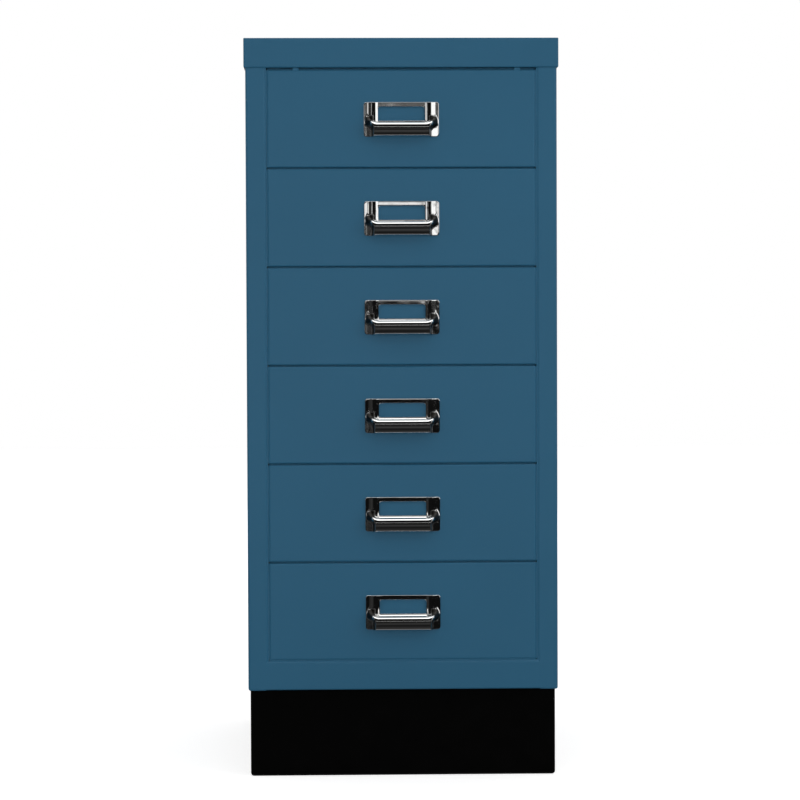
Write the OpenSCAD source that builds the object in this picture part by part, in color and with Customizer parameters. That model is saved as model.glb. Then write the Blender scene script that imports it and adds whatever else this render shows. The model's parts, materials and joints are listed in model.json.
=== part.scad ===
// Small metal drawer cabinet: a folded steel body with a deep cap, six drawers
// on side runners, pressed pull handles and a plinth set back under the body.
// Millimetres. +Z is up, the drawers face -Y, and the origin is on the floor
// under the middle of the whole cabinet, handles included.

/* [Body] */
// Width of the body across its side panels
body_w = 280; // [270:1:320]
// Depth of the body from the stiles' faces to its back
body_d = 380; // [376:1:420]
// Thickness of the sheet steel
sheet = 0.8; // [0.7:0.1:1.0]
// Width of each front stile
stile_w = 18.2; // [17.8:0.1:19]
// Height of the rail under the bottom drawer
rail_h = 26.5; // [22:0.5:34]
// How far the bottom rail stays above the stiles' lower ends
rail_step = 0.5; // [0:0.1:1]
// Depth of the folds behind the stiles and rails
return_d = 16; // [14.5:0.5:17]
// Outer radius of the body's vertical front folds
fold_r = 2.2; // [1.5:0.1:2.4]
// Outer radius of the folds around the drawer opening
opening_r = 2.4; // [1.5:0.1:3]
// Outer radius of the fold along the body's lower edge
base_r = 1.4; // [1:0.1:2]

/* [Cap] */
// Depth of the cap's skirt
cap_h = 26.6; // [22:0.1:32]
// Overhang of the cap on all four sides
cap_lip = 1.5; // [1.2:0.1:2.5]
// Outer radius of the cap's top edges
cap_top_r = 0.9; // [0.8:0.1:2]
// Outer radius of the skirt's lower edge and upright corners
cap_low_r = 1.5; // [1.2:0.1:2.5]

/* [Drawers] */
// Height of each drawer front
front_h = 87.5; // [86:0.5:100]
// Depth of each drawer front
front_d = 12.5; // [10:0.5:13]
// Gap above and below each drawer front
front_gap = 1.25; // [1:0.05:2]
// Gap between the top drawer front and the cap
top_gap = 1.9; // [1.4:0.1:3]
// Gap at each side of a drawer front
side_gap = 1.3; // [1:0.1:2]
// Outer radius of a drawer front's folded edges
front_r = 1.5; // [1:0.1:2.5]
// Corner radius of a drawer front seen from the front
front_corner_r = 0.8; // [0.3:0.1:2]
// Height of a drawer tray's walls
tray_h = 72; // [60:1:76]
// Outer radius of a tray's lower folds
tray_r = 2; // [1:0.5:4]
// Travel of a drawer from closed to its stop
travel = 300; // [200:5:300]

/* [Handles] */
// Width of the handle plate
handle_w = 67.5; // [60:0.5:80]
// Height of the handle plate
handle_h = 31; // [30:0.5:34]
// How far the pull stands out from the drawer front
handle_out = 15; // [13:0.5:18]
// How far the handle's middle sits below the front's middle
handle_drop = 0.9; // [0:0.1:4]
// Thickness of the handle's sheet
handle_t = 0.9; // [0.8:0.1:1]
// Width of the card window
window_w = 42.6; // [36:0.1:44]

/* [Plinth] */
// Height of the plinth
plinth_h = 80; // [60:1:120]
// How far the plinth sits behind the stiles' faces
plinth_set_back = 15; // [8:1:40]
// How far the plinth sits inside each side of the body
plinth_side_in = 1.5; // [1:0.1:6]
// How far the plinth sits inside the body's back
plinth_back_in = 3; // [2:1:20]
// Thickness of the plinth's sheet
plinth_t = 1.2; // [1:0.1:2]
// Outer radius of the fold along the plinth's lower edge
plinth_fold_r = 3.6; // [2:0.1:5]

/* [Hidden] */
$fn = 48;
past = 6;
over = 1;
flat = [0, 0, 0, 0];
closed = [0, 0, 0];
drawer_count = 6;
drawers = [1:drawer_count];

paint = [0.19, 0.35, 0.44];
chrome = [0.82, 0.83, 0.85];
zinc = [0.66, 0.67, 0.68];
nylon = [0.88, 0.86, 0.80];
rubber = [0.10, 0.10, 0.10];
black = [0.04, 0.04, 0.045];

// Places in the cabinet's depth and height
front_y = handle_out - (handle_out + body_d + cap_lip) / 2;
back_y = front_y + body_d;
rail_top = plinth_h + rail_h;
pitch = front_h + front_gap;
body_h = rail_h + drawer_count * pitch + top_gap + cap_h;
top_z = plinth_h + body_h;
opening_w = body_w - 2 * stile_w;
front_w = opening_w - 2 * side_gap;
function front_z(n) = rail_top + front_gap + (drawer_count - n) * pitch;

// Runners, and what rides in them
runner_t = 1;
runner_h = 10;
runner_mouth_in = 8.8;
runner_back_gap = 0.2;
runner_mouth_x = opening_w / 2 - runner_mouth_in;
runner_back_x = opening_w / 2 + runner_back_gap;
runner_web_x = runner_back_x - runner_t;
runner_start = 18;
runner_end = body_d - 10;
channel_h = runner_h - 2 * runner_t;
channel_d = runner_web_x - runner_mouth_x;
pad_l = 12;
pad_in = 0.4;
pad_slot_in = 1;
pad_slot_h = 1.6;
glide_play = 0.6;
glide_h = channel_h - glide_play;
stop_gap = 0.5;
glide_start = runner_start + pad_l + travel + stop_gap;
glide_l = 25;
buffer_l = 8;
buffer_in = 1;
tray_lift = 4.5;
tray_gap = 1.5;
tray_w = 2 * (runner_mouth_x - tray_gap);
tray_end = glide_start + glide_l;
tray_front_in = 1;
tray_front_w = front_w - 2 * tray_front_in;
flange_gap = 2.1;
flange_x = runner_web_x - flange_gap;
flange_in = 1.5;
glide_gap = 1.3;
glide_x = runner_web_x - glide_gap;
function runner_z(n) = front_z(n) + tray_lift + tray_h - sheet / 2;

// Posts that carry the runners, as distances behind the stiles' faces
post_w = 25;
post_t = 1;
post_fold_r = 1.5;
post_starts = [24, body_d - 60];
post_low_z = plinth_h + 3;
post_top_z = top_z - cap_h + 4;
rivet_r = 2;
rivet_hole_r = 2.05;
rivet_head_r = 3.5;
rivet_head_h = 0.9;

// Top rail, base and back
top_rail_lift = 1.6;
pan_edge_h = 12;
back_in = 2.5;
base_in = 2.4;

// Small pips on the top drawer's upper edge, seen in the gap under the cap
pip_xs = [-94.6, 104.4];
pip_w = 5.4;
pip_h = 1.1;
pip_back = 2.5;
pip_d = 4;

// Screws that hold the plinth
screw_r = 2.95;
screw_hole_r = 3.2;
screw_head_r = 5.5;
screw_head_h = 3.5;
screw_l = 12;
screw_nut_r = 5.77;
screw_nut_h = 4;
screw_in = 10.5;
screw_end_gap = 90;
screw_x = body_w / 2 - screw_in;
screw_ys = [front_y + screw_end_gap, back_y - screw_end_gap];
plinth_top_flange = 25;
plinth_low_flange = 22;

// Handle: distances outward from the drawer front and down from the plate's top
plate_out = 2;
plate_rim = 1.1;
plate_corner_r = 2.3;
hood_w = 61.5;
window_top = 4;
shelf_start = [7, 17.3];
crest = [handle_out - handle_t / 2, 19.7];
crest_r = 2.2;
hood_foot = [11.6, 30.2];
hood_belly = [14.1, 25.2];
hood_belly_r = 16;
cheek_top = [1.6, 1.4];
cheek_mid = [3.6, 10];
cheek_mid_r = 40;
stud_r = 1.45;
stud_hole_r = 1.6;
stud_x = 26;
stud_down = 7;
stud_in = 5.2;
washer_r = 3.5;
washer_t = 0.5;
nut_r = 3.18;
nut_h = 2.4;
nut_hole_r = 1.5;
access_r = 6;
function handle_top(n) = front_z(n) + (front_h + handle_h) / 2 - handle_drop;

// ---- Flat shapes ----

// What a corner of radius r loses from a square corner at the origin
module corner_waste(r) {
    difference() {
        translate([-over, -over]) square(r + over);
        translate([r, r]) circle(r);
    }
}

// Rectangle from the origin with a radius at each corner: low left, low right,
// high right, high left
module rounded_rect(w, h, radii) {
    corners = [[0, 0], [w, 0], [w, h], [0, h]];
    difference() {
        square([w, h]);
        for (k = [0:3])
            if (radii[k] > 0)
                translate(corners[k]) rotate(90 * k) corner_waste(radii[k]);
    }
}

// ---- Solids with rounded outlines ----

// Box from the origin whose outlines seen from the front, from the side and
// from above have their own corner radii
module block(size, front = flat, side = flat, plan = flat) {
    intersection() {
        translate([0, size.y, 0])
            rotate([90, 0, 0]) linear_extrude(size.y) rounded_rect(size.x, size.z, front);
        rotate([90, 0, 90]) linear_extrude(size.x) rounded_rect(size.y, size.z, side);
        linear_extrude(size.z) rounded_rect(size.x, size.y, plan);
    }
}

function inset(radii, t) = [for (r = radii) max(r - t, 0)];

// The same box folded from sheet of thickness t. The last two arguments say by
// 1 which of its low and high sides along X, Y and Z are open.
module folded_box(size, t, front = flat, side = flat, plan = flat, low_open = closed, high_open = closed) {
    low = [for (k = [0:2]) low_open[k] == 1 ? -past : t];
    high = [for (k = [0:2]) high_open[k] == 1 ? size[k] + past : size[k] - t];
    difference() {
        block(size, front, side, plan);
        translate(low) block(high - low, inset(front, t), inset(side, t), inset(plan, t));
    }
}

// The children on the cabinet's left, and their mirror image on its right
module both_sides() {
    children();
    mirror([1, 0, 0]) children();
}

// ---- Body ----

// What the bottom rail takes up between the stiles, mitred at its upper corners
module rail_zone(low_z) {
    half = opening_w / 2;
    outline = [
        [-half - opening_r, low_z],
        [half + opening_r, low_z],
        [half + opening_r, rail_top - opening_r],
        [half, rail_top],
        [-half, rail_top],
        [-half - opening_r, rail_top - opening_r]
    ];
    translate([0, front_y + return_d, 0])
        rotate([90, 0, 0]) linear_extrude(return_d + past) polygon(outline);
}

module plinth_bores() {
    for (y = screw_ys)
        translate([-screw_x, y, plinth_h - past]) cylinder(h = 3 * past, r = screw_hole_r);
}

// Side panel with its front stile, lower flange and rear flange, on the left
module side_panel() {
    panel_h = body_h - sheet;
    color(paint)
        difference() {
            translate([-body_w / 2, front_y, plinth_h])
                folded_box([stile_w, body_d, panel_h], sheet,
                    front = [fold_r, 0, 0, 0], side = [base_r, 0, 0, 0],
                    plan = [fold_r, opening_r, 0, base_r], high_open = [0, 0, 1]);
            translate([-opening_w / 2 - sheet - over, front_y + return_d, plinth_h + sheet])
                cube([sheet + 2 * over, body_d - return_d - sheet, panel_h]);
            rail_zone(plinth_h - over);
            plinth_bores();
        }
}

module bottom_rail() {
    color(paint)
        intersection() {
            translate([-opening_w / 2 - opening_r, front_y, plinth_h + rail_step])
                folded_box([opening_w + 2 * opening_r, return_d, rail_h - rail_step], sheet,
                    side = [base_r, 0, 0, opening_r], low_open = [1, 0, 0], high_open = [1, 1, 0]);
            rail_zone(plinth_h);
        }
}

module top_rail() {
    low_z = top_z - cap_h + top_rail_lift;
    color(paint)
        translate([-opening_w / 2, front_y + sheet, low_z])
            folded_box([opening_w, return_d - sheet, top_z - sheet - low_z], sheet,
                side = [base_r, 0, 0, 0], low_open = [1, 0, 0], high_open = [1, 1, 0]);
}

module back_panel() {
    color(paint)
        translate([-body_w / 2 + back_in, back_y - 2 * sheet, plinth_h + sheet])
            cube([body_w - 2 * back_in, sheet, body_h - 2 * sheet]);
}

module base_pan() {
    pan_d = body_d - return_d - 2 * sheet;
    color(paint)
        difference() {
            translate([-body_w / 2 + base_in, front_y + return_d, plinth_h + sheet])
                folded_box([body_w - 2 * base_in, pan_d, pan_edge_h], sheet,
                    side = [base_r, base_r, 0, 0], low_open = [1, 0, 0], high_open = [1, 0, 1]);
            both_sides() plinth_bores();
        }
}

// Cap: a tray upside down, its lower edge turned in against the body
module top_cap() {
    edges = [cap_low_r, cap_low_r, cap_top_r, cap_top_r];
    upright = [cap_low_r, cap_low_r, cap_low_r, cap_low_r];
    body_corners = [fold_r, fold_r, base_r, base_r];
    size = [body_w + 2 * cap_lip, body_d + 2 * cap_lip, cap_h];
    color(paint)
        difference() {
            translate([-size.x / 2, front_y - cap_lip, top_z - cap_h])
                folded_box(size, sheet, front = edges, side = edges, plan = upright);
            translate([-body_w / 2, front_y, top_z - cap_h - over])
                linear_extrude(cap_h / 2) rounded_rect(body_w, body_d, body_corners);
        }
}

// ---- Runners ----

module rivet_axis(n, start) {
    translate([-runner_back_x, front_y + start + post_w / 2, runner_z(n)]) rotate([0, 90, 0]) children();
}

// Upright post on the left, open towards the side panel
module post(start) {
    reach = body_w / 2 - sheet - runner_back_x;
    color(zinc)
        difference() {
            translate([-body_w / 2 + sheet, front_y + start, post_low_z])
                folded_box([reach, post_w, post_top_z - post_low_z], post_t,
                    plan = [0, post_fold_r, post_fold_r, 0], low_open = [1, 0, 1], high_open = [0, 0, 1]);
            for (n = drawers)
                rivet_axis(n, start) cylinder(h = 2 * (post_t + over), r = rivet_hole_r, center = true);
        }
}

// Runner on the left, a channel that opens towards the drawer
module runner(n) {
    color(zinc)
        difference() {
            translate([-runner_back_x, front_y + runner_start, runner_z(n) - runner_h / 2])
                folded_box([runner_back_x - runner_mouth_x, runner_end - runner_start, runner_h], runner_t,
                    front = [runner_t, 0, 0, runner_t], low_open = [0, 1, 0], high_open = [1, 1, 0]);
            for (start = post_starts)
                rivet_axis(n, start) cylinder(h = 2 * (runner_t + over), r = rivet_hole_r, center = true);
        }
}

module runner_rivets() {
    color(zinc)
        both_sides()
            for (n = drawers, start = post_starts)
                rivet_axis(n, start) {
                    translate([0, 0, -post_t]) cylinder(h = post_t + runner_t, r = rivet_r);
                    translate([0, 0, -post_t - rivet_head_h]) cylinder(h = rivet_head_h, r = rivet_head_r);
                    translate([0, 0, runner_t]) cylinder(h = rivet_head_h, r = rivet_head_r);
                }
}

// Nylon pads in the runners' front ends: they carry the tray's flanges and stop
// the glides
module runner_pads() {
    pad_w = channel_d - pad_in;
    color(nylon)
        both_sides()
            for (n = drawers)
                translate([-runner_web_x, front_y + runner_start, runner_z(n) - channel_h / 2])
                    difference() {
                        cube([pad_w, pad_l, channel_h]);
                        translate([pad_slot_in, -over, (channel_h - pad_slot_h) / 2])
                            cube([pad_w, pad_l + 2 * over, pad_slot_h]);
                    }
}

module closing_buffers() {
    color(rubber)
        both_sides()
            for (n = drawers)
                translate([-runner_web_x, front_y + tray_end + stop_gap, runner_z(n) - channel_h / 2])
                    cube([channel_d - buffer_in, buffer_l, channel_h]);
}

// ---- Plinth ----

module plinth() {
    size = [
        body_w - 2 * plinth_side_in,
        body_d - plinth_set_back - plinth_back_in,
        plinth_h
    ];
    edges = [plinth_fold_r, plinth_fold_r, plinth_t, plinth_t];
    upright = [plinth_t, plinth_t, plinth_t, plinth_t];
    color(black)
        difference() {
            translate([-size.x / 2, front_y + plinth_set_back, 0])
                difference() {
                    folded_box(size, plinth_t, front = edges, side = edges, plan = upright);
                    translate([plinth_low_flange, plinth_low_flange, -over])
                        cube([size.x - 2 * plinth_low_flange, size.y - 2 * plinth_low_flange, plinth_h / 2]);
                    translate([plinth_top_flange, plinth_top_flange, plinth_h / 2])
                        cube([size.x - 2 * plinth_top_flange, size.y - 2 * plinth_top_flange, plinth_h]);
                }
            both_sides() plinth_bores();
        }
}

module plinth_screws() {
    seat_z = plinth_h + 2 * sheet;
    color(zinc)
        both_sides()
            for (y = screw_ys)
                translate([-screw_x, y, 0]) {
                    translate([0, 0, seat_z]) cylinder(h = screw_head_h, r = screw_head_r);
                    translate([0, 0, seat_z - screw_l]) cylinder(h = screw_l, r = screw_r);
                    translate([0, 0, plinth_h - plinth_t - screw_nut_h])
                        difference() {
                            cylinder(h = screw_nut_h, r = screw_nut_r, $fn = 6);
                            translate([0, 0, -over]) cylinder(h = screw_nut_h + 2 * over, r = screw_hole_r);
                        }
                }
}

// ---- Drawers ----

// Both stud places of a handle, with the children's +Z pointing into the drawer
module stud_axes(n) {
    for (s = [-1, 1])
        translate([s * stud_x, front_y, handle_top(n) - stud_down]) rotate([-90, 0, 0]) children();
}

// Half-round pips on the top drawer's upper edge
module top_pips() {
    for (x = pip_xs)
        translate([x, front_y + pip_back + pip_d, front_z(1) + front_h])
            rotate([90, 0, 0]) linear_extrude(pip_d)
                intersection() {
                    translate([0, pip_h - pip_w / 2]) circle(pip_w / 2);
                    translate([-pip_w, -sheet / 2]) square([2 * pip_w, pip_w]);
                }
}

module drawer_front(n) {
    corners = [front_corner_r, front_corner_r, front_corner_r, front_corner_r];
    color(paint)
        difference() {
            union() {
                translate([-front_w / 2, front_y, front_z(n)])
                    folded_box([front_w, front_d, front_h], sheet, front = corners,
                        side = [front_r, 0, 0, front_r], plan = [front_r, front_r, 0, 0],
                        high_open = [0, 1, 0]);
                if (n == 1) top_pips();
            }
            stud_axes(n) translate([0, 0, -over]) cylinder(h = sheet + 2 * over, r = stud_hole_r);
        }
}

// Tray: folded floor and walls, a wider front wall that closes the drawer
// front's back, and flanges that run in the channels
module drawer_tray(n) {
    wall_y = front_y + front_d;
    floor_z = front_z(n) + tray_lift;
    tray_l = tray_end - front_d;
    color(paint)
        difference() {
            union() {
                translate([-tray_w / 2, wall_y, floor_z])
                    folded_box([tray_w, tray_l, tray_h], sheet, front = [tray_r, tray_r, 0, 0],
                        side = [0, tray_r, 0, 0], high_open = [0, 0, 1]);
                translate([-tray_front_w / 2, wall_y, front_z(n) + tray_front_in])
                    cube([tray_front_w, sheet, front_h - 2 * tray_front_in]);
                for (x = [-flange_x, tray_w / 2])
                    translate([x, wall_y + flange_in, floor_z + tray_h - sheet])
                        cube([flange_x - tray_w / 2, tray_l - flange_in, sheet]);
            }
            stud_axes(n) translate([0, 0, front_d - over]) cylinder(h = sheet + 2 * over, r = access_r);
        }
}

// Nylon glides gripping the flanges' rear ends
module drawer_glides(n) {
    glide_w = glide_x - runner_mouth_x;
    color(nylon)
        both_sides()
            translate([-glide_x, front_y + glide_start, runner_z(n) - glide_h / 2])
                difference() {
                    cube([glide_w, glide_l, glide_h]);
                    translate([glide_x - flange_x, -over, (glide_h - sheet) / 2])
                        cube([glide_w, glide_l + 2 * over, sheet]);
                }
}

// ---- Handles ----

function unit(v) = v / norm(v);

// Arc of radius r that rounds the corner b between a and c
function corner_arc(a, b, c, r, steps = 5) =
    let (
        u = unit(a - b),
        v = unit(c - b),
        half = acos(u * v) / 2,
        centre = b + unit(u + v) * r / sin(half),
        start = b + u * r / tan(half) - centre,
        end = b + v * r / tan(half) - centre,
        a0 = atan2(start.y, start.x),
        turn = (atan2(end.y, end.x) - a0 + 540) % 360 - 180
    )
    [for (k = [0:steps]) centre + r * [cos(a0 + turn * k / steps), sin(a0 + turn * k / steps)]];

function normal(path, k) =
    let (along = unit(path[min(k + 1, len(path) - 1)] - path[max(k - 1, 0)])) [-along.y, along.x];

// Outline of a strip of thickness t along a path
function strip(path, t) = concat(
    [for (k = [0:len(path) - 1]) path[k] + normal(path, k) * t / 2],
    [for (k = [len(path) - 1:-1:0]) path[k] - normal(path, k) * t / 2]
);

// Side view of the pull below the window: shelf, crest and front
shelf_to_foot = concat(
    [shelf_start],
    corner_arc(shelf_start, crest, hood_belly, crest_r),
    corner_arc(crest, hood_belly, hood_foot, hood_belly_r),
    [hood_foot]
);
// Side view beside the window, where the sheet rises from the plate to the shelf
plate_to_foot = concat(
    [cheek_top],
    corner_arc(cheek_top, cheek_mid, shelf_start, cheek_mid_r),
    shelf_to_foot
);

// Extrusion across the handle of a side view drawn as distance out and down
module across(w) {
    rotate([90, 0, -90]) linear_extrude(w, center = true) mirror([0, 1]) children();
}

module handle(n) {
    band_w = (hood_w - window_w) / 2;
    cheek = concat([[plate_rim, cheek_top.y]], plate_to_foot, [[plate_rim, hood_foot.y]]);
    color(chrome)
        translate([0, front_y, handle_top(n)]) {
            difference() {
                handle_plate();
                across(hood_w) translate([-over, window_top]) square([handle_out, handle_h]);
            }
            across(window_w) polygon(strip(shelf_to_foot, handle_t));
            for (s = [-1, 1]) {
                translate([s * (window_w + band_w) / 2, 0, 0])
                    across(band_w) polygon(strip(plate_to_foot, handle_t));
                translate([s * (hood_w - handle_t) / 2, 0, 0]) across(handle_t) polygon(cheek);
                translate([s * stud_x, -plate_out - handle_t / 2, -stud_down])
                    rotate([-90, 0, 0]) cylinder(h = plate_out + handle_t / 2 + stud_in, r = stud_r);
            }
        }
}

// Plate with its rim turned back to the drawer front
module handle_plate() {
    corners = [plate_corner_r, plate_corner_r, plate_corner_r, plate_corner_r];
    translate([-handle_w / 2, -plate_out, -handle_h])
        folded_box([handle_w, plate_out, handle_h], handle_t, front = corners, high_open = [0, 1, 0]);
}

module handle_nuts(n) {
    color(zinc)
        stud_axes(n) translate([0, 0, sheet])
            difference() {
                union() {
                    cylinder(h = washer_t, r = washer_r);
                    cylinder(h = washer_t + nut_h, r = nut_r, $fn = 6);
                }
                translate([0, 0, -over]) cylinder(h = washer_t + nut_h + 2 * over, r = nut_hole_r);
            }
}

// ---- The whole cabinet ----

side_panel();  // left_side
mirror([1, 0, 0]) side_panel();  // right_side
back_panel();
top_cap();
top_rail();
bottom_rail();
base_pan();
post(post_starts[0]);  // post_front_left
post(post_starts[1]);  // post_rear_left
mirror([1, 0, 0]) post(post_starts[0]);  // post_front_right
mirror([1, 0, 0]) post(post_starts[1]);  // post_rear_right
runner_rivets();
runner_pads();
closing_buffers();
plinth();
plinth_screws();
for (n = drawers) {
    runner(n);
    mirror([1, 0, 0]) runner(n);
    drawer_front(n);
    drawer_tray(n);
    drawer_glides(n);
    handle(n);
    handle_nuts(n);
}
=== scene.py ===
"""Small metal drawer cabinet: finishes, pressed chrome pulls, lips in the gaps, studio and camera."""

import json
import math

import bmesh
import bpy
from mathutils import Matrix, Vector


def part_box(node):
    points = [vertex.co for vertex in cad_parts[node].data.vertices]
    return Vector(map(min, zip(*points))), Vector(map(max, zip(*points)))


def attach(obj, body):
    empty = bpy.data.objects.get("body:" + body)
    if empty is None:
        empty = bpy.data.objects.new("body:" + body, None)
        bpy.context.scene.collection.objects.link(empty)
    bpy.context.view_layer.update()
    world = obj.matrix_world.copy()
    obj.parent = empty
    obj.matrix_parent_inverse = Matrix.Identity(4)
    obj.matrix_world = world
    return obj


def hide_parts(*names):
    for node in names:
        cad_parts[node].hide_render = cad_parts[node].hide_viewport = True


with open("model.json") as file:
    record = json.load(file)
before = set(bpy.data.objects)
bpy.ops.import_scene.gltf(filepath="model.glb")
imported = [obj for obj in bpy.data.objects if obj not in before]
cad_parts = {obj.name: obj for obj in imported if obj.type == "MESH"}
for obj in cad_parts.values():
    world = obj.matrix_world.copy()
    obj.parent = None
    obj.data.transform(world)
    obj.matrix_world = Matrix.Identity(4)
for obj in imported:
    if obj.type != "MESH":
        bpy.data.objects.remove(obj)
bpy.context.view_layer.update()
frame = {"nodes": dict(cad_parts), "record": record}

MM = 0.001
DRAWERS = range(1, 7)
FRONT_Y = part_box("left_side")[0].y

# -------------------------------------------------------------------- helpers

# The range that most values of a noise texture fall in
NOISE_RANGE = (0.3, 0.7)


class Nodes:
    """A material's or world's node tree, with short ways to add nodes to it."""

    def __init__(self, tree):
        self.tree = tree
        tree.nodes.clear()

    def add(self, kind, **values):
        node = self.tree.nodes.new(kind)
        for key, value in values.items():
            setattr(node, key, value)
        return node

    def put(self, socket, value):
        if isinstance(value, bpy.types.NodeSocket):
            self.tree.links.new(value, socket)
        else:
            socket.default_value = value

    def math(self, operation, *values, clamp=False):
        node = self.add("ShaderNodeMath", operation=operation, use_clamp=clamp)
        for socket, value in zip(node.inputs, values):
            self.put(socket, value)
        return node.outputs[0]

    def chain(self, operation, values):
        out = values[0]
        for value in values[1:]:
            out = self.math(operation, out, value)
        return out

    def total(self, *values):
        return self.chain("ADD", values)

    def product(self, *values):
        return self.chain("MULTIPLY", values)

    def largest(self, *values):
        return self.chain("MAXIMUM", values)

    def absolute(self, value):
        return self.math("ABSOLUTE", value)

    def sine(self, value, pace, height):
        return self.product(self.math("SINE", self.product(value, pace)), height)

    def between(self, value, low, high, to_low=0.0, to_high=1.0, kind="LINEAR"):
        """Maps low to high onto to_low to to_high, and goes no further on either side."""
        node = self.add("ShaderNodeMapRange", interpolation_type=kind)
        for socket, number in zip(node.inputs, (value, low, high, to_low, to_high)):
            self.put(socket, number)
        return node.outputs[0]

    def ease(self, value, low, high, to_low=0.0, to_high=1.0):
        """As between, with a soft start and end."""
        return self.between(value, low, high, to_low, to_high, kind="SMOOTHSTEP")

    def fade(self, value, low, high, level=1.0):
        """From level at low, softly down to nothing at high."""
        return self.ease(value, low, high, level, 0.0)

    def noise(self, vector, scale, detail=2.0, roughness=0.5):
        node = self.add("ShaderNodeTexNoise")
        self.put(node.inputs["Vector"], vector)
        self.put(node.inputs["Scale"], scale)
        self.put(node.inputs["Detail"], detail)
        self.put(node.inputs["Roughness"], roughness)
        return node.outputs["Fac"]

    def from_noise(self, noise, low, high):
        return self.between(noise, *NOISE_RANGE, low, high)

    def xyz(self, vector):
        node = self.add("ShaderNodeSeparateXYZ")
        self.put(node.inputs[0], vector)
        return node.outputs

    def mix(self, factor, first, second):
        node = self.add("ShaderNodeMix", data_type="RGBA")
        self.put(node.inputs[0], factor)
        self.put(node.inputs[6], first)
        self.put(node.inputs[7], second)
        return node.outputs[2]

    def bump(self, height, strength, distance):
        node = self.add("ShaderNodeBump")
        self.put(node.inputs["Height"], height)
        self.put(node.inputs["Strength"], strength)
        self.put(node.inputs["Distance"], distance)
        return node.outputs["Normal"]


def rgba(colour, factor=1.0):
    return tuple(c * factor for c in colour) + (1.0,)


def material(name, settings):
    """A new Principled material: (material, nodes, shader, object coordinates)."""
    made = bpy.data.materials.new(name)
    made.use_nodes = True
    nodes = Nodes(made.node_tree)
    shader = nodes.add("ShaderNodeBsdfPrincipled")
    output = nodes.add("ShaderNodeOutputMaterial")
    nodes.put(output.inputs["Surface"], shader.outputs[0])
    for key, value in settings.items():
        shader.inputs[key].default_value = value
    place = nodes.add("ShaderNodeTexCoord").outputs["Object"]
    return made, nodes, shader, place


def add_object(name, data):
    made = bpy.data.objects.new(name, data)
    bpy.context.scene.collection.objects.link(made)
    return made


def mesh_data(name, mesh, finish):
    """Turns a mesh in mm into mesh data in metres, with its finish."""
    bmesh.ops.recalc_face_normals(mesh, faces=mesh.faces)
    data = bpy.data.meshes.new(name)
    mesh.to_mesh(data)
    mesh.free()
    data.transform(Matrix.Scale(MM, 4))
    data.materials.append(finishes[finish])
    return data


# ------------------------------------------------------------------- materials

# Paint: its mottling, as factors of its colour, and how far its roughness varies
DARKER, LIGHTER = 0.9, 1.1
UNEVEN = 0.03


def powder_coat(name, colour, roughness, mottle, peel, specular):
    """Fine satin powder coat: slight orange peel, faint mottling, uneven gloss."""
    made, nodes, shader, place = material(name, {"Specular IOR Level": specular})
    cloud = nodes.noise(place, scale=9.0, detail=3.0, roughness=0.55)
    grain = nodes.noise(place, scale=2600.0, detail=1.0)
    tone = nodes.total(nodes.from_noise(cloud, -mottle, mottle), nodes.from_noise(grain, -mottle, mottle))
    share = nodes.math("ADD", tone, 0.5, clamp=True)
    nodes.put(shader.inputs["Base Color"], nodes.mix(share, rgba(colour, DARKER), rgba(colour, LIGHTER)))
    gloss = nodes.noise(place, scale=60.0)
    nodes.put(shader.inputs["Roughness"], nodes.from_noise(gloss, roughness - UNEVEN, roughness + UNEVEN))
    skin = nodes.total(nodes.noise(place, scale=700.0), nodes.product(grain, 0.35))
    nodes.put(shader.inputs["Normal"], nodes.bump(skin, strength=peel, distance=0.00006))
    return made


def painted_dark_reflection(nodes, place):
    """Painted shade: how far the chrome's colour is darkened, 0 to 1, to paint in dark reflections in the
    hollows at both ends of the pull, and a little on the flange at its lower left.
    In metres from the middle of the handle's top edge."""
    x, y, z = nodes.xyz(place)
    beside = nodes.ease(nodes.absolute(x), 0.0240, 0.0262)
    below_card = nodes.ease(z, -0.0110, -0.0130)
    off_plate = nodes.ease(y, -0.0020, -0.0027)
    behind_rim = nodes.ease(y, -0.0124, -0.0108)
    down_front = nodes.ease(z, -0.0200, -0.0215)
    above_flange = nodes.ease(z, -0.0238, -0.0228)
    left_of_flange = nodes.fade(x, 0.0266, 0.0274)
    hollow = nodes.product(beside, below_card, off_plate, nodes.largest(behind_rim, down_front),
                           nodes.largest(above_flange, left_of_flange))
    left_flange = nodes.product(nodes.ease(x, -0.0266, -0.0276), nodes.ease(z, -0.0195, -0.0240))
    elsewhere = nodes.math("SUBTRACT", 1.0, left_flange)
    return nodes.total(nodes.product(hollow, elsewhere), nodes.product(left_flange, 0.3))


def chrome_plate():
    """Bright chrome with a faint haze, the slight waves of a pressing, and painted dark reflections in the
    hollows at the pull's ends.
    """
    made, nodes, shader, place = material("handle_chrome", {"Metallic": 1.0})
    # Painted shade: the chrome's colour goes to near black in the hollows at the pull's ends and on its
    # lower left flange, as painted dark reflections; there it is also rougher.
    dark_reflection = painted_dark_reflection(nodes, place)
    plate = nodes.mix(dark_reflection, rgba((0.82, 0.82, 0.81)), rgba((0.04, 0.038, 0.035)))
    nodes.put(shader.inputs["Base Color"], plate)
    haze = nodes.noise(place, scale=220.0, detail=3.0)
    sheen = nodes.between(haze, 0.35, 0.75, 0.035, 0.09)
    nodes.put(shader.inputs["Roughness"], nodes.total(sheen, nodes.product(dark_reflection, 0.45)))
    fine = nodes.product(nodes.noise(place, scale=900.0), 0.08)
    waves = nodes.total(nodes.noise(place, scale=130.0, detail=1.0), fine)
    nodes.put(shader.inputs["Normal"], nodes.bump(waves, strength=0.11, distance=0.00012))
    return made


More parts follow.
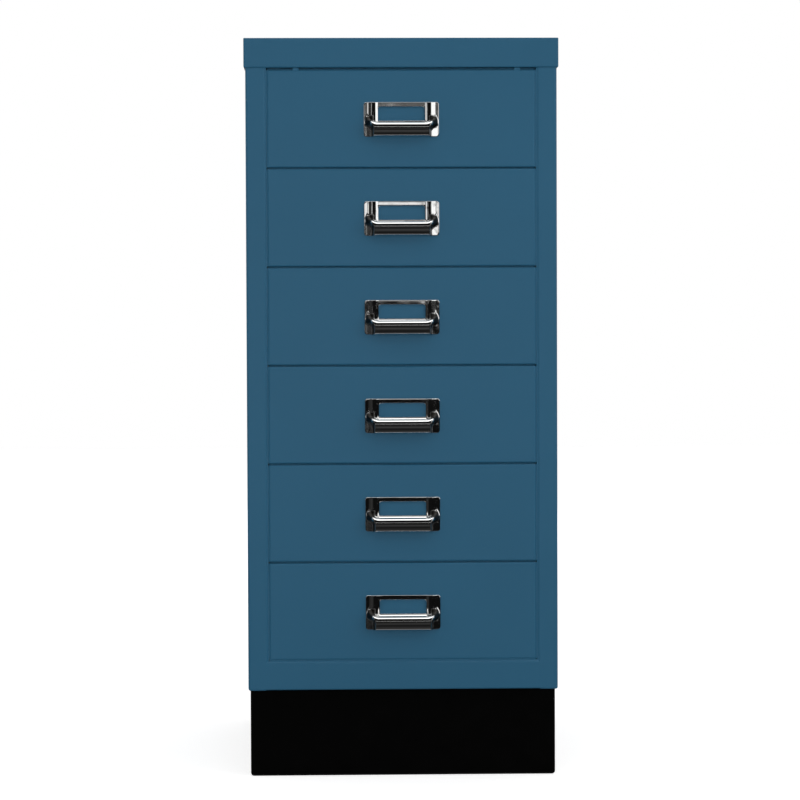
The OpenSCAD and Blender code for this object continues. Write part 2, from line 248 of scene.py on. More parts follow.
def zinc_plate():
    """Dull zinc with a faint spangle."""
    made, nodes, shader, place = material("zinc_plate", {"Metallic": 1.0})
    cells = nodes.add("ShaderNodeTexVoronoi", feature="F1")
    nodes.put(cells.inputs["Vector"], place)
    nodes.put(cells.inputs["Scale"], 160.0)
    spangle = nodes.add("ShaderNodeSeparateColor")
    nodes.put(spangle.inputs[0], cells.outputs["Color"])
    cloud = nodes.noise(place, scale=40.0, detail=3.0)
    tone = nodes.total(nodes.product(spangle.outputs[0], 0.35), nodes.product(cloud, 0.65))
    zinc = nodes.mix(tone, rgba((0.42, 0.43, 0.45)), rgba((0.66, 0.67, 0.69)))
    nodes.put(shader.inputs["Base Color"], zinc)
    nodes.put(shader.inputs["Roughness"], nodes.between(tone, 0.2, 0.8, 0.30, 0.46))
    grain = nodes.noise(place, scale=1200.0)
    nodes.put(shader.inputs["Normal"], nodes.bump(grain, strength=0.2, distance=0.00005))
    return made


def steel_hardware():
    """Bright zinc plated steel with fine scratches."""
    made, nodes, shader, place = material("steel_hardware", {"Metallic": 1.0})
    scratch = nodes.noise(place, scale=1800.0, detail=3.0, roughness=0.7)
    steel = nodes.mix(scratch, rgba((0.45, 0.45, 0.46)), rgba((0.68, 0.68, 0.69)))
    nodes.put(shader.inputs["Base Color"], steel)
    nodes.put(shader.inputs["Roughness"], nodes.from_noise(scratch, 0.22, 0.40))
    nodes.put(shader.inputs["Normal"], nodes.bump(scratch, strength=0.15, distance=0.00004))
    return made


def nylon():
    """Natural nylon with faint flow marks."""
    made, nodes, shader, place = material("nylon", {"Subsurface Weight": 0.15, "Subsurface Scale": 0.002})
    flow = nodes.noise(place, scale=120.0)
    moulded = nodes.mix(flow, rgba((0.66, 0.62, 0.52)), rgba((0.78, 0.75, 0.66)))
    nodes.put(shader.inputs["Base Color"], moulded)
    gloss = nodes.noise(place, scale=900.0)
    nodes.put(shader.inputs["Roughness"], nodes.from_noise(gloss, 0.38, 0.52))
    grain = nodes.noise(place, scale=1500.0)
    nodes.put(shader.inputs["Normal"], nodes.bump(grain, strength=0.2, distance=0.00005))
    return made


def rubber():
    """Matt black rubber with a little dust in its grain."""
    made, nodes, shader, place = material("rubber", {"Specular IOR Level": 0.3})
    dust = nodes.noise(place, scale=300.0, detail=4.0, roughness=0.6)
    dusty = nodes.mix(dust, rgba((0.012, 0.012, 0.012)), rgba((0.035, 0.034, 0.033)))
    nodes.put(shader.inputs["Base Color"], dusty)
    nodes.put(shader.inputs["Roughness"], nodes.from_noise(dust, 0.62, 0.82))
    grain = nodes.noise(place, scale=2500.0)
    nodes.put(shader.inputs["Normal"], nodes.bump(grain, strength=0.4, distance=0.00006))
    return made


finishes = {
    "body_paint": powder_coat("body_paint", (0.0167, 0.1000, 0.1815),
                              roughness=0.40, mottle=0.10, peel=0.35, specular=0.35),
    "plinth_paint": powder_coat("plinth_paint", (0.0006, 0.0006, 0.0006),
                                roughness=0.34, mottle=0.25, peel=0.35, specular=0.2),
    "handle_chrome": chrome_plate(),
    "zinc_plate": zinc_plate(),
    "steel_hardware": steel_hardware(),
    "nylon": nylon(),
    "rubber": rubber(),
}

for part in frame["record"]["subparts"]:
    node_mesh = frame["nodes"][part["node"]].data
    node_mesh.materials.clear()
    node_mesh.materials.append(finishes[part["material_slot"]])

# --------------------------------------------------------------------- handles
# In a handle, a is the distance from its middle line, s the distance down from
# its top edge and p the distance out from the drawer front, all in mm.

# The plate: its sheet and face, its outline and that edge's radius, and the card
# window with its sunken edge
SHEET, FACE = 0.7, 1.9
HALF_W, PLATE_H = 33.75, 31.0
OUTLINE_R, EDGE_R = 2.3, 0.45
WINDOW_HALF, WINDOW_TOP, WINDOW_LOW = 20.95, 4.05, 17.4
WINDOW_R, WINDOW_ROLL, WINDOW_SINK = 2.2, 0.25, 0.2

# The pull's U-shaped rim: where it runs at the sides and below, its corner's
# radius, where it starts to rise, how, and how wide the fall inside it is. Then
# how far it sweeps up towards its ends, and from where on.
RIM_A, RIM_S, RIM_R = 28.9, 19.4, 5.2
RIM_START, RIM_RISE, RIM_WALL = 16.6, 1.7, 1.6
SWEEP, SWEEP_POWER, SWEEP_A, SWEEP_RUN = 3.2, 1.5, 21.3, 9.7
SWEEP_FADE_S, SWEEP_FADE_RUN = 18.0, 6.0

# The pull's flanks: how far out they stand at the top, at their widest and at the
# foot, how steep they are at the top and below, and how far under the face they start
FLANK_TOP, FLANK_WIDE, FLANK_LOW = 30.9, 33.1, 27.2
FLANK_TOP_S, FLANK_TOP_RUN, FLANK_WIDE_S, FLANK_LOW_RUN = 9, 8.5, 19.5, 5.2
STEEP_TOP, STEEP_LOW, STEEP_S, STEEP_RUN = 2.0, 5.5, 20.5, 4.2
FLANK_SINK = 0.3

# The flange beside the pull: how much it is drawn up at the left and right, over
# which stretch, and how its outer edge falls off
FLANGE_LEFT, FLANGE_RIGHT, FLANGE_W = 0.65, 1.25, 6.5
FLANGE_S, FLANGE_RUN = 14, 7
CROWN, CROWN_A = 0.05, 30.9

# Where the ridge runs out, and how softly ridge, flange, pull and flanks join
RIDGE_END_S, RIDGE_END_RUN = 17.0, 3.0
JOIN_RIDGE, JOIN_PULL, JOIN_FLANK = 0.15, 0.6, 1.8

# Over how much the middle's profile gives way to the ends, and where the rolled
# lower edge is open underneath
MIDDLE_RUN, CURL_S, CURL_HALF = 2.4, 30.6, 26.4

# Where the plate's turned edge ends, just off the drawer front
TURNED_P = 0.05

# The waves left by pressing: their height, the line that those of the upper edge
# turn about, and where they fade
WAVE, WARP_TOP, WARP_FADE_S, WARP_FADE_RUN = 0.007, 2.0, 3.5, 4.0

# The ridge beside the window, as (a, p)
RIDGE = [
    (20.95, 1.9), (21.25, 1.98), (21.65, 2.30), (22.05, 2.68), (22.45, 3.05), (22.85, 3.36),
    (23.2, 3.45), (23.8, 3.49), (24.6, 3.57), (25.4, 3.66), (26.2, 3.75), (26.7, 3.79),
    (27.0, 3.75), (27.3, 3.62), (27.7, 3.36), (28.1, 3.08), (28.5, 2.80), (29.0, 2.46),
    (29.5, 2.18), (30.0, 1.98), (30.5, 1.91), (31.0, 1.9),
]

# Down the middle: the bevel under the window, the trough behind the pull's edge,
# the rolled edge and the front, as (s, p, s beside the window)
PULL = [
    (17.45, 1.92, 17.45), (17.8, 2.18, 17.6), (18.2, 2.51, 17.75), (18.6, 2.85, 17.92),
    (19.0, 3.22, 18.08), (19.42, 4.08, 18.18), (19.68, 4.75, 18.24), (19.68, 5.5, 18.26),
    (19.45, 6.4, 18.275), (19.08, 7.5, 18.29), (18.72, 8.5, 18.30), (18.45, 9.35, 18.31),
    (18.33, 10.1, 18.34), (18.42, 10.95, 18.42), (18.63, 11.7, 18.63), (19.0, 12.35, 19.0),
    (19.4, 12.86, 19.4), (20.0, 13.35, 20.0), (20.8, 13.82, 20.8), (21.6, 14.08, 21.6),
    (22.4, 14.17, 22.4), (23.2, 14.15, 23.2), (24.0, 14.05, 24.0), (25.0, 13.82, 25.0),
    (26.0, 13.52, 26.0), (27.0, 13.2, 27.0), (28.0, 12.82, 28.0), (29.0, 12.4, 29.0),
    (29.7, 12.08, 29.7), (30.1, 11.8, 30.1), (30.4, 11.35, 30.4), (30.55, 10.8, 30.55),
    (30.45, 10.3, 30.6),
]

# The pull beyond the window's ends, as (s, p): a plain slope up to the rolled edge,
# which starts at this row of PULL, and then the same front
EDGE_ROW = 12
SHELF = [
    (16.0, 1.9), (17.05, 1.92), (17.35, 2.1), (17.65, 2.45), (17.9, 2.95), (18.08, 3.6),
    (18.18, 4.4), (18.24, 5.3), (18.26, 6.2), (18.275, 7.1), (18.29, 8.0), (18.30, 8.9),
    (18.31, 9.6),
] + [(s, p) for s, p, _ in PULL[EDGE_ROW:-1]]

# The mesh's rows and columns, as (where a stretch starts, its step)
UPPER_ROWS = [(0, 0.05), (0.15, 0.1), (0.45, 0.6), (WINDOW_TOP - WINDOW_ROLL, WINDOW_ROLL),
              (WINDOW_TOP, 0.55), (12.0, 0.33), (WINDOW_LOW - WINDOW_ROLL, WINDOW_ROLL), (WINDOW_LOW, 1)]
LAST_ROWS = (30.75, PLATE_H - 0.12, PLATE_H - 0.04, PLATE_H)
COLUMNS = [(0, 3.0), (18, 0.8), (WINDOW_HALF, WINDOW_ROLL), (WINDOW_HALF + WINDOW_ROLL, 0.33),
           (24.2, 0.36), (31.0, 0.4), (HALF_W - 0.45, 0.1), (HALF_W - 0.15, 0.05), (HALF_W, 1)]

# How close counts as on a grid line and as on the outline
NEAR, ON_OUTLINE = 1e-6, 1e-3


def smooth(t):
    t = min(max(t, 0.0), 1.0)
    return t * t * (3 - 2 * t)


def lerp(a, b, t):
    return a + (b - a) * t


def along(points, x):
    """Height of a polyline at x."""
    if x <= points[0][0]:
        return points[0][1]
    for (x0, p0), (x1, p1) in zip(points, points[1:]):
        if x <= x1:
            return lerp(p0, p1, (x - x0) / (x1 - x0))
    return points[-1][1]


def curve(points, x):
    """Height of a smooth curve through the points at x."""
    if x <= points[0][0]:
        return points[0][1]
    if x >= points[-1][0]:
        return points[-1][1]
    k = next(i for i in range(len(points) - 1) if x <= points[i + 1][0])
    (x0, p0), (x1, p1) = points[k], points[k + 1]
    before, after = points[max(k - 1, 0)], points[min(k + 2, len(points) - 1)]
    m0 = (p1 - before[1]) / (x1 - before[0]) * (x1 - x0)
    m1 = (after[1] - p0) / (after[0] - x0) * (x1 - x0)
    t = (x - x0) / (x1 - x0)
    return ((2 * t ** 3 - 3 * t ** 2 + 1) * p0 + (t ** 3 - 2 * t ** 2 + t) * m0
            + (3 * t ** 2 - 2 * t ** 3) * p1 + (t ** 3 - t ** 2) * m1)


def soft_min(a, b, k):
    """The smaller of two heights, with a soft join where they differ by less than k."""
    h = min(max(0.5 + 0.5 * (b - a) / k, 0.0), 1.0)
    return lerp(b, a, h) - k * h * (1 - h)


def soft_max(a, b, k):
    return -soft_min(-a, -b, k)


def rim_height(s):
    """Height of the pull's rim, which runs up beside the ridges and fades into the plate."""
    if s >= RIM_S:
        return along(SHELF, s)
    rise = max((s - RIM_START) / (RIM_S - RIM_START), 0.0) ** RIM_RISE
    return FACE + (along(SHELF, RIM_S) - FACE) * rise


def swept(a, s):
    """Where on the straight pull a point of the swept pull lies."""
    out = (max(a - SWEEP_A, 0.0) / SWEEP_RUN) ** SWEEP_POWER
    return s + SWEEP * out * (1 - smooth((s - SWEEP_FADE_S) / SWEEP_FADE_RUN))


def pull_height(a, s):
    """Height of the pull: inside its U-shaped rim, on it and outside it."""
    s = swept(a, s)
    centre_a, centre_s = RIM_A - RIM_R, RIM_S - RIM_R
    if a > centre_a and s > centre_s:
        depth = RIM_R - math.hypot(a - centre_a, s - centre_s)
        turn = math.atan2(s - centre_s, a - centre_a) / (math.pi / 2)
    elif s > centre_s:
        depth, turn = RIM_S - s, 1.0
    else:
        depth, turn = RIM_A - a, 0.0
    top = rim_height(centre_s + RIM_R * math.sin(turn * math.pi / 2) if turn > 0 else s)
    if depth <= 0:
        return lerp(top, along(SHELF, RIM_S - depth), smooth(turn)) if s < RIM_S else along(SHELF, s)
    side = 1 - smooth(depth / RIM_WALL)
    shelf = (along(SHELF, RIM_S - depth) - FACE) / (along(SHELF, RIM_S) - FACE)
    return FACE + (top - FACE) * lerp(side, shelf, smooth(turn))


def flank_foot(s):
    """How far out the pull's flanks reach at the height of the plate."""
    if s < FLANK_WIDE_S:
        return lerp(FLANK_TOP, FLANK_WIDE, smooth((s - FLANK_TOP_S) / FLANK_TOP_RUN))
    return lerp(FLANK_WIDE, FLANK_LOW, smooth((s - FLANK_WIDE_S) / FLANK_LOW_RUN))


def flange(x, s):
    """The plate beside the pull: crowned at its edge, and drawn up a little, mostly at the right."""
    inward = min(max((HALF_W - abs(x)) / FLANGE_W, 0.0), 1.0)
    reach = smooth((s - FLANGE_S) / FLANGE_RUN) * inward
    crown = CROWN * max(abs(x) - CROWN_A, 0.0) ** 2
    return FACE + (FLANGE_RIGHT if x > 0 else FLANGE_LEFT) * reach - crown


def face_height(x, s):
    """Height of the pressing: its flange, ridges and pull, softly joined."""
    a = abs(x)
    steep = lerp(STEEP_TOP, STEEP_LOW, smooth((s - STEEP_S) / STEEP_RUN))
    wall = FACE - FLANK_SINK + steep * (flank_foot(s) - a)
    pull = soft_min(pull_height(a, s), wall, JOIN_FLANK)
    cheek = lerp(curve(RIDGE, a), FACE, smooth((s - RIDGE_END_S) / RIDGE_END_RUN))
    return soft_max(soft_max(flange(x, s), cheek, JOIN_RIDGE), pull, JOIN_PULL)


def spread(stops):
    """Numbers from the first stop to the last, where stops are (where a stretch starts, its step)."""
    out = []
    for (a, step), (b, _) in zip(stops, stops[1:]):
        count = max(1, round((b - a) / step))
        out += [a + (b - a) * k / count for k in range(count)]
    return out + [stops[-1][0]]


def round_corner(a, s):
    """Pulls the plate's square corners in to its outline radius: (a, s, distance to the outline)."""
    near_top = s < OUTLINE_R
    v = (OUTLINE_R - s) / OUTLINE_R if near_top else (s - (PLATE_H - OUTLINE_R)) / OUTLINE_R
    u = (a - (HALF_W - OUTLINE_R)) / OUTLINE_R
    if u <= 0 or v <= 0:
        return a, s, min(HALF_W - a, s, PLATE_H - s)
    u, v = u * math.sqrt(1 - v * v / 2), v * math.sqrt(1 - u * u / 2)
    a = HALF_W - OUTLINE_R + u * OUTLINE_R
    s = OUTLINE_R - v * OUTLINE_R if near_top else PLATE_H - OUTLINE_R + v * OUTLINE_R
    return a, s, OUTLINE_R * (1 - math.hypot(u, v))


def window_edge(a, s):
    """Rounds the window's upper corners on the grid lines that bound it."""
    centre_a, centre_s = WINDOW_HALF - WINDOW_R, WINDOW_TOP + WINDOW_R
    on_top = abs(s - WINDOW_TOP) < NEAR and centre_a < a <= WINDOW_HALF + NEAR
    on_side = abs(a - WINDOW_HALF) < NEAR and WINDOW_TOP - NEAR < s < centre_s
    if not (on_top or on_side):
        return a, s
    direction = Vector((a - centre_a, s - centre_s)).normalized()
    return centre_a + direction.x * WINDOW_R, centre_s + direction.y * WINDOW_R


def dent(x, s):
    """Slight waves that pressing leaves in the sheet. Their paces only have to be uneven."""
    warp = WAVE * math.sin(0.1 * x + 1.6 * math.sin(0.21 * x) + 0.9)
    warp *= (s - WARP_TOP) * (1 - smooth((s - WARP_FADE_S) / WARP_FADE_RUN))
    across = math.sin(0.55 * x + 1.1 * math.sin(0.35 * s))
    aslant = 0.7 * math.sin(0.9 * x - 0.6 * s + 1.3)
    return warp + WAVE * (across + aslant)


def handle_rows():
    """Rows from the top edge down: (s beside the window, (s, p) down the middle or None)."""
    rows = [(s, None) for s in spread(UPPER_ROWS)]
    rows += [(side, (s, p)) for s, p, side in PULL]
    return rows + [(s, None) for s in LAST_ROWS]


def handle_point(x0, s0, middle):
    """A point of the pressing, from its column, its row and the row's place down the middle."""
    a, s = window_edge(abs(x0), s0)
    a, s, edge = round_corner(a, s)
    p = face_height(math.copysign(a, x0), s)
    if edge < EDGE_R:
        p -= EDGE_R - math.sqrt(max(EDGE_R ** 2 - (EDGE_R - edge) ** 2, 0.0))
    if abs(x0) <= WINDOW_HALF + NEAR and WINDOW_TOP - NEAR <= s0 <= WINDOW_LOW + NEAR:
        p -= WINDOW_SINK
    if middle:
        share = 1 - smooth((a - WINDOW_HALF) / MIDDLE_RUN)
        s, p = lerp(s, middle[0], share), lerp(p, middle[1], share)
    x = math.copysign(a, x0) if x0 else 0.0
    return x, -p - dent(x, s), -s


def handle_mesh():
    """The pressing's skin: open at the window and under the pull, its edge turned back."""
    outer = spread(COLUMNS)
    columns = [-a for a in reversed(outer[1:])] + outer
    rows = handle_rows()
    mesh = bmesh.new()
    grid = [[mesh.verts.new(handle_point(x, s, middle)) for x in columns] for s, middle in rows]
    for j in range(len(rows) - 1):
        mid_s = (rows[j][0] + rows[j + 1][0]) / 2
        for i in range(len(columns) - 1):
            mid_a = abs(columns[i] + columns[i + 1]) / 2
            hole = mid_a < WINDOW_HALF and WINDOW_TOP < mid_s < WINDOW_LOW
            under = mid_s > CURL_S and mid_a < CURL_HALF
            if not hole and not under:
                mesh.faces.new((grid[j][i], grid[j + 1][i], grid[j + 1][i + 1], grid[j][i + 1]))
    loose = [v for v in mesh.verts if not v.link_faces]
    bmesh.ops.delete(mesh, geom=loose, context="VERTS")
    edges = [e for e in mesh.edges if e.is_boundary and all(on_outline(v.co) for v in e.verts)]
    turned = bmesh.ops.extrude_edge_only(mesh, edges=edges)["geom"]
    for vert in (g for g in turned if isinstance(g, bmesh.types.BMVert)):
        vert.co.y = -TURNED_P
    return mesh


def on_outline(co):
    """Whether a point lies on the plate's outline."""
    a, s = abs(co.x), -co.z
    u, v = a - (HALF_W - OUTLINE_R), max(OUTLINE_R - s, s - (PLATE_H - OUTLINE_R))
    if u > 0 and v > 0:
        return abs(math.hypot(u, v) - OUTLINE_R) < ON_OUTLINE
    return a > HALF_W - ON_OUTLINE or s < ON_OUTLINE or s > PLATE_H - ON_OUTLINE


handle_data = mesh_data("pressed_pull", handle_mesh(), "handle_chrome")
for polygon in handle_data.polygons:
    polygon.use_smooth = True
for n in DRAWERS:
    pull = add_object(f"pressed_pull_{n}", handle_data)
    pull.location = (0, FRONT_Y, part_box(f"handle_{n}")[1].z)
    solid = pull.modifiers.new("sheet", "SOLIDIFY")
    solid.thickness = SHEET * MM
    solid.offset = -1
    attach(pull, f"drawer_{n}")
    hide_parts(f"handle_{n}")

# ---------------------------------------------------------------- small pieces


def add_piece(name, mesh, finish, body, place=(0, 0, 0)):
    """Turns a mesh in mm into a piece that rides on a body."""
    piece = add_object(name, mesh_data(name, mesh, finish))
    piece.location = place
    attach(piece, body)
    return piece


def stretch(mesh, rings):
    """Closed skin through rings of points."""
    rings = [[mesh.verts.new(point) for point in ring] for ring in rings]
    for first, second in zip(rings, rings[1:]):
        for k in range(len(first)):
            j = (k + 1) % len(first)
            mesh.faces.new((first[k], first[j], second[j], second[k]))
    mesh.faces.new(rings[0])
    mesh.faces.new(reversed(rings[-1]))


def quarter(steps):
    """Angles of a quarter turn."""
    return [math.pi / 2 * k / steps for k in range(steps + 1)]


# The two studs of each pull, as (distance out from the drawer front, radius)
STUD = [(1.3, 1.45), (-4.9, 1.45), (-5.2, 1.1)]
STUD_X, STUD_S, STUD_SIDES = 26.0, 7.0, 16


def stud_ring(x, p, r):
    turns = [math.tau * k / STUD_SIDES for k in range(STUD_SIDES)]
    return [(x + r * math.cos(t), -p, -STUD_S + r * math.sin(t)) for t in turns]


for n in DRAWERS:
    mesh = bmesh.new()
    for x in (-STUD_X, STUD_X):
        stretch(mesh, [stud_ring(x, p, r) for p, r in STUD])
    place = (0, FRONT_Y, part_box(f"handle_{n}")[1].z)
    studs = add_piece(f"pull_studs_{n}", mesh, "handle_chrome", f"drawer_{n}", place)
    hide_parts(f"handle_{n}")

# Narrow lips folded into the gaps round the drawer fronts. Each reaches across its
# gap, less some play, or across its share of a gap that two lips close. Depths are
# measured back from the drawer fronts, and roots across the gap.
SIDE_GAP, FRONT_GAP, TOP_GAP, PLAY = 1.3, 1.25, 1.9, 0.1
SHARE = (SIDE_GAP - PLAY) / 2
OPENING_DEPTH, BETWEEN_DEPTH, TOP_DEPTH = 0.7, 3.9, 5.0
OPENING_ROOT, SIDE_ROOT, EDGE_ROOT, LIP_BACK = -0.75, -0.4, -0.1, -0.1
LIP_RUN, NOSE_R, NOSE_STEPS, LIP_END_IN, BEHIND_SKIRT = 2.5, 0.2, 4, 0.2, 4.0


def lip_profile(root, reach, depth):
    """A lip's outline, as (distance across the gap, depth behind the drawer fronts)."""
    nose = [(reach - NOSE_R + NOSE_R * math.sin(t), depth + NOSE_R - NOSE_R * math.cos(t))
            for t in quarter(NOSE_STEPS)]
    return [(root, depth)] + nose + [(reach, depth + LIP_RUN), (LIP_BACK, depth + LIP_RUN)]


def draw_lip(mesh, profile, stations):
    """A profile drawn through stations, each ((x, z) on the sheet, (x, z) across the gap)."""
    y = FRONT_Y / MM
    stretch(mesh, [[(x + ax * u, y + d, z + az * u) for u, d in profile] for (x, z), (ax, az) in stations])


front_low, front_high = (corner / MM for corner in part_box("drawer_front_2"))
front_h = front_high.z - front_low.z
front_half = front_high.x
half_opening = front_half + SIDE_GAP
rail_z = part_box("bottom_rail")[1].z / MM
lip_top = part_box("top_cap")[0].z / MM + BEHIND_SKIRT

mesh = bmesh.new()
draw_lip(mesh, lip_profile(OPENING_ROOT, SHARE, OPENING_DEPTH),
         [((-half_opening, lip_top), (1, 0)), ((-half_opening, rail_z), (1, 1)),
          ((half_opening, rail_z), (-1, 1)), ((half_opening, lip_top), (-1, 0))])
add_piece("opening_lip", mesh, "body_paint", "carcass")

side_profile = lip_profile(SIDE_ROOT, SHARE, OPENING_DEPTH)
for n in DRAWERS:
    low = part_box(f"drawer_front_{n}")[0].z / MM
    top = low + front_h
    gap, depth = (TOP_GAP, TOP_DEPTH) if n == DRAWERS[0] else (FRONT_GAP, BETWEEN_DEPTH)
    ends = [side * (front_half - LIP_END_IN) for side in (-1, 1)]
    mesh = bmesh.new()
    draw_lip(mesh, lip_profile(EDGE_ROOT, gap - PLAY, depth), [((x, top), (0, 1)) for x in ends])
    for side in (-1, 1):
        draw_lip(mesh, side_profile, [((side * front_half, z), (side, 0))
                                      for z in (low + LIP_END_IN, top - LIP_END_IN)])
    if n == DRAWERS[-1]:
        draw_lip(mesh, side_profile, [((x, low), (0, -1)) for x in ends])
    add_piece(f"front_lips_{n}", mesh, "body_paint", f"drawer_{n}")

# Painted pips on the top drawer's upper edge, which fill its gap at two places
PIP_XS = (-94.6, 104.4)
PIP_HALF, PIP_R, PIP_STEPS, PIP_LOW, PIP_HIGH = 2.8, 0.9, 5, -0.6, TOP_GAP - PLAY
PIP_FRONT, PIP_BACK = 0.5, 5.0
PIP_BEVEL, PIP_BEVEL_STEPS, PIP_RIM_NEAR = 0.35, 3, 0.01

pip_arc = [(PIP_HALF - PIP_R + PIP_R * math.cos(t), PIP_HIGH - PIP_R + PIP_R * math.sin(t))
           for t in quarter(PIP_STEPS)]
pip_outline = ([(PIP_HALF, PIP_LOW)] + pip_arc
               + [(-x, z) for x, z in reversed(pip_arc)] + [(-PIP_HALF, PIP_LOW)])
pip_base = front_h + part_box("drawer_front_1")[0].z / MM
pip_front_y = FRONT_Y / MM + PIP_FRONT

for number, pip_x in enumerate(PIP_XS, 1):
    mesh = bmesh.new()
    stretch(mesh, [[(pip_x + x, FRONT_Y / MM + depth, pip_base + z) for x, z in pip_outline]
                   for depth in (PIP_FRONT, PIP_BACK)])
    rim = [e for e in mesh.edges if all(v.co.y < pip_front_y + PIP_RIM_NEAR for v in e.verts)]
    bmesh.ops.bevel(mesh, geom=rim, offset=PIP_BEVEL, segments=PIP_BEVEL_STEPS,
                    profile=0.5, affect="EDGES")
    add_piece(f"front_pip_{number}", mesh, "body_paint", "drawer_1")

# ---------------------------------------------------------------------- camera
# Metres, degrees and pixels of the photo's 800 pixel frame

CAMERA_AWAY, CAMERA_X, CAMERA_Z = 2.5, -0.06319, 0.42030
YAW, PITCH, ROLL = -1.3998, -1.7870, -0.2141
FOCAL_PX, FRAME_PX, SENSOR = 2776.2, 800, 36.0

camera_data = bpy.data.cameras.new("camera")
camera_data.sensor_width = SENSOR
camera_data.lens = SENSOR * FOCAL_PX / FRAME_PX
camera_data.clip_start, camera_data.clip_end = 0.05, 50
camera = add_object("camera", camera_data)
turned = (Matrix.Rotation(math.radians(YAW), 4, "Z") @ Matrix.Rotation(math.radians(90 + PITCH), 4, "X")
          @ Matrix.Rotation(math.radians(ROLL), 4, "Z"))
camera.matrix_world = Matrix.Translation((CAMERA_X, FRONT_Y - CAMERA_AWAY, CAMERA_Z)) @ turned
bpy.context.scene.camera = camera

# ---------------------------------------------------------------------- studio

# Soft lamps, as (name, place, what it points at, (width, height), watts). Metal
# doesn't see them: what it sees is in the world.
LAMPS = [
    ("overhead", (0.35, -1.9, 2.3), (0, -0.15, 0.35), (2.2, 1.6), 8.5),
    ("right_fill", (2.0, -1.7, 1.1), (0, -0.1, 0.4), (1.0, 1.4), 11),
    ("left_fill", (-2.2, -1.6, 0.9), (0, -0.1, 0.3), (1.0, 1.4), 3.5),
    ("back_fill", (0.4, 3.0, 1.3), (0, 0.2, 0.35), (2.2, 1.6), 14),
    ("side_fill", (-2.6, 0.9, 0.9), (0, 0, 0.35), (1.4, 1.4), 5),
    ("front_fill", (-0.3, -3.4, 0.25), (0, -0.1, 0.2), (2.4, 1.4), 42),
]
FLOOR_HALF, FLOOR_GREY, FLOOR_GLOW = 6.0, 0.8, 0.66
WHITE, AMBIENT = (1, 1, 1, 1), (0.38, 0.38, 0.38, 1)


def add_lamp(name, place, target, size, energy):
    data = bpy.data.lights.new(name, "AREA")
    data.shape = "RECTANGLE"
    data.size, data.size_y = size
    data.energy = energy
    lamp = add_object(name, data)
    lamp.location = place
    lamp.rotation_euler = (Vector(target) - Vector(place)).to_track_quat("-Z", "Y").to_euler()
    lamp.visible_glossy = False


def add_floor():
    """Pale floor that keeps the cabinet's shadow and shows nearly white."""
    grey = rgba((FLOOR_GREY,) * 3)
    made, nodes, shader, _ = material("pale_floor", {"Base Color": grey, "Roughness": 0.9})
    rays = nodes.add("ShaderNodeLightPath").outputs
    seen = nodes.largest(rays["Is Camera Ray"], rays["Is Glossy Ray"], rays["Is Transmission Ray"])
    glow = nodes.add("ShaderNodeEmission")
    nodes.put(glow.inputs["Strength"], nodes.product(seen, FLOOR_GLOW))
    both = nodes.add("ShaderNodeAddShader")
    nodes.put(both.inputs[0], shader.outputs[0])
    nodes.put(both.inputs[1], glow.outputs[0])
    output = next(n for n in made.node_tree.nodes if n.type == "OUTPUT_MATERIAL")
    nodes.put(output.inputs["Surface"], both.outputs[0])
    mesh = bmesh.new()
    bmesh.ops.create_grid(mesh, x_segments=1, y_segments=1, size=FLOOR_HALF)
    data = bpy.data.meshes.new("floor")
    mesh.to_mesh(data)
    mesh.free()
    data.materials.append(made)
    ground = add_object("floor", data)
    ground.visible_glossy = False


# How bright metal sees the walls and the softbox above
WALLS, SOFTBOX = 1.2, 1.8


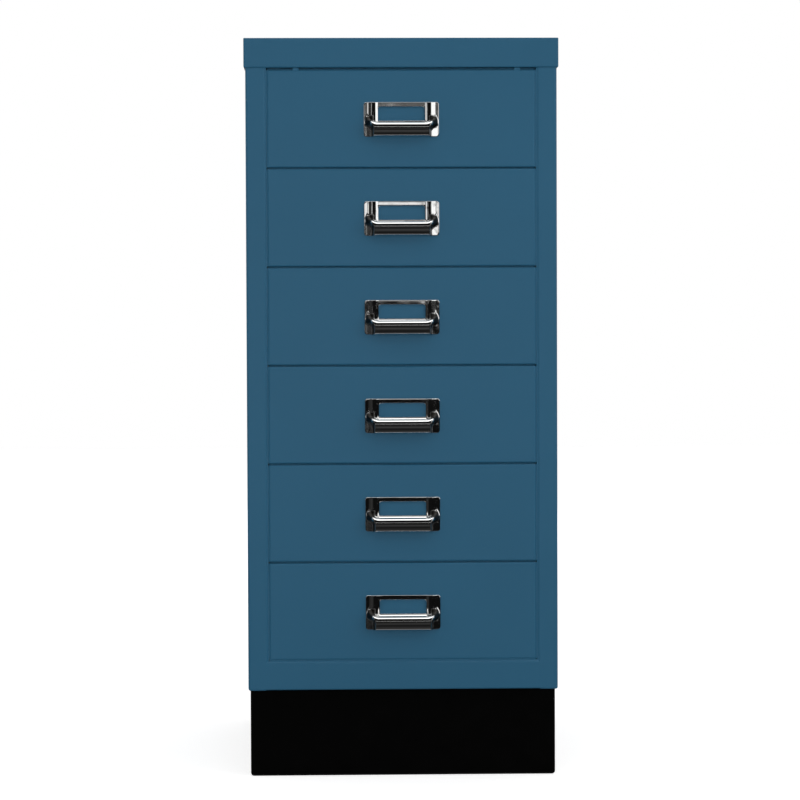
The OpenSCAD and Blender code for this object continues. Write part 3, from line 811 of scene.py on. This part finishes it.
def room_around(nodes):
    """What metal sees, by direction: white walls behind, to the right and far to the left,
    a softbox above, and in front a dim room with a few brighter bands."""
    x, y, z = nodes.xyz(nodes.add("ShaderNodeTexCoord").outputs["Generated"])
    aside = nodes.absolute(x)

    def band(centre, width, level):
        off = nodes.absolute(nodes.math("SUBTRACT", z, centre))
        return nodes.product(nodes.fade(off, 0.0, width), level)

    def strip(low, full, high, end, level):
        return nodes.product(nodes.ease(z, low, full), nodes.fade(z, high, end, level))

    # White walls, from the horizon up to some 30 degrees
    behind = nodes.ease(y, 0.0, 0.14)
    sides = nodes.largest(nodes.ease(x, 0.26, 0.38), nodes.fade(x, -0.985, -0.95))
    around = nodes.largest(behind, sides)
    walls = nodes.product(around, nodes.ease(z, 0.017, 0.031), nodes.fade(z, 0.4, 0.6))

    # Bright lines just above the horizon, in front and to the left
    ahead = nodes.fade(aside, 0.07, 0.14)
    line = strip(low=0.014, full=0.027, high=0.046, end=0.064, level=0.9)
    glare = nodes.product(nodes.total(line, band(centre=0.07, width=0.09, level=0.11)), ahead)
    off_left = nodes.absolute(nodes.total(x, 0.42))
    left_line = strip(low=0.016, full=0.034, high=0.085, end=0.12, level=0.8)
    left_glare = nodes.product(nodes.fade(off_left, 0.11, 0.17), left_line)

    # The dim rest of the room: its left side, the ground, and two bands below
    streaks = nodes.total(nodes.sine(x, 38.0, 0.012), 0.02)
    dim = nodes.product(streaks, nodes.fade(x, -0.4, -0.15))
    ripple = nodes.total(nodes.sine(z, 30.0, 0.009), 0.014)
    ground = nodes.product(ripple, nodes.ease(z, -0.14, -0.3))
    low_band = band(centre=-0.53, width=0.08, level=0.03)
    lowest_band = band(centre=-0.95, width=0.1, level=0.25)
    room = nodes.total(glare, left_glare, ground, low_band, lowest_band, dim, 0.005)

    # The softbox above, which reaches lower at its sides
    height = nodes.total(z, nodes.product(aside, 0.42))
    softbox = nodes.product(nodes.ease(height, 0.84, 0.90), nodes.fade(aside, 0.70, 0.80))
    return nodes.largest(nodes.product(walls, WALLS), nodes.product(softbox, SOFTBOX), room)


def add_world():
    """White behind the object, an even light for dull surfaces and a room for metal."""
    world = bpy.data.worlds.new("studio")
    bpy.context.scene.world = world
    world.use_nodes = True
    nodes = Nodes(world.node_tree)
    rays = nodes.add("ShaderNodeLightPath").outputs
    ambient = nodes.mix(rays["Is Glossy Ray"], AMBIENT, room_around(nodes))
    shown = nodes.largest(rays["Is Camera Ray"], rays["Is Transmission Ray"])
    sky = nodes.add("ShaderNodeBackground")
    nodes.put(sky.inputs["Color"], nodes.mix(shown, ambient, WHITE))
    nodes.put(sky.inputs["Strength"], 1.0)
    output = nodes.add("ShaderNodeOutputWorld")
    nodes.put(output.inputs["Surface"], sky.outputs[0])


for lamp in LAMPS:
    add_lamp(*lamp)
add_floor()
add_world()
bpy.context.scene.view_settings.view_transform = "Standard"
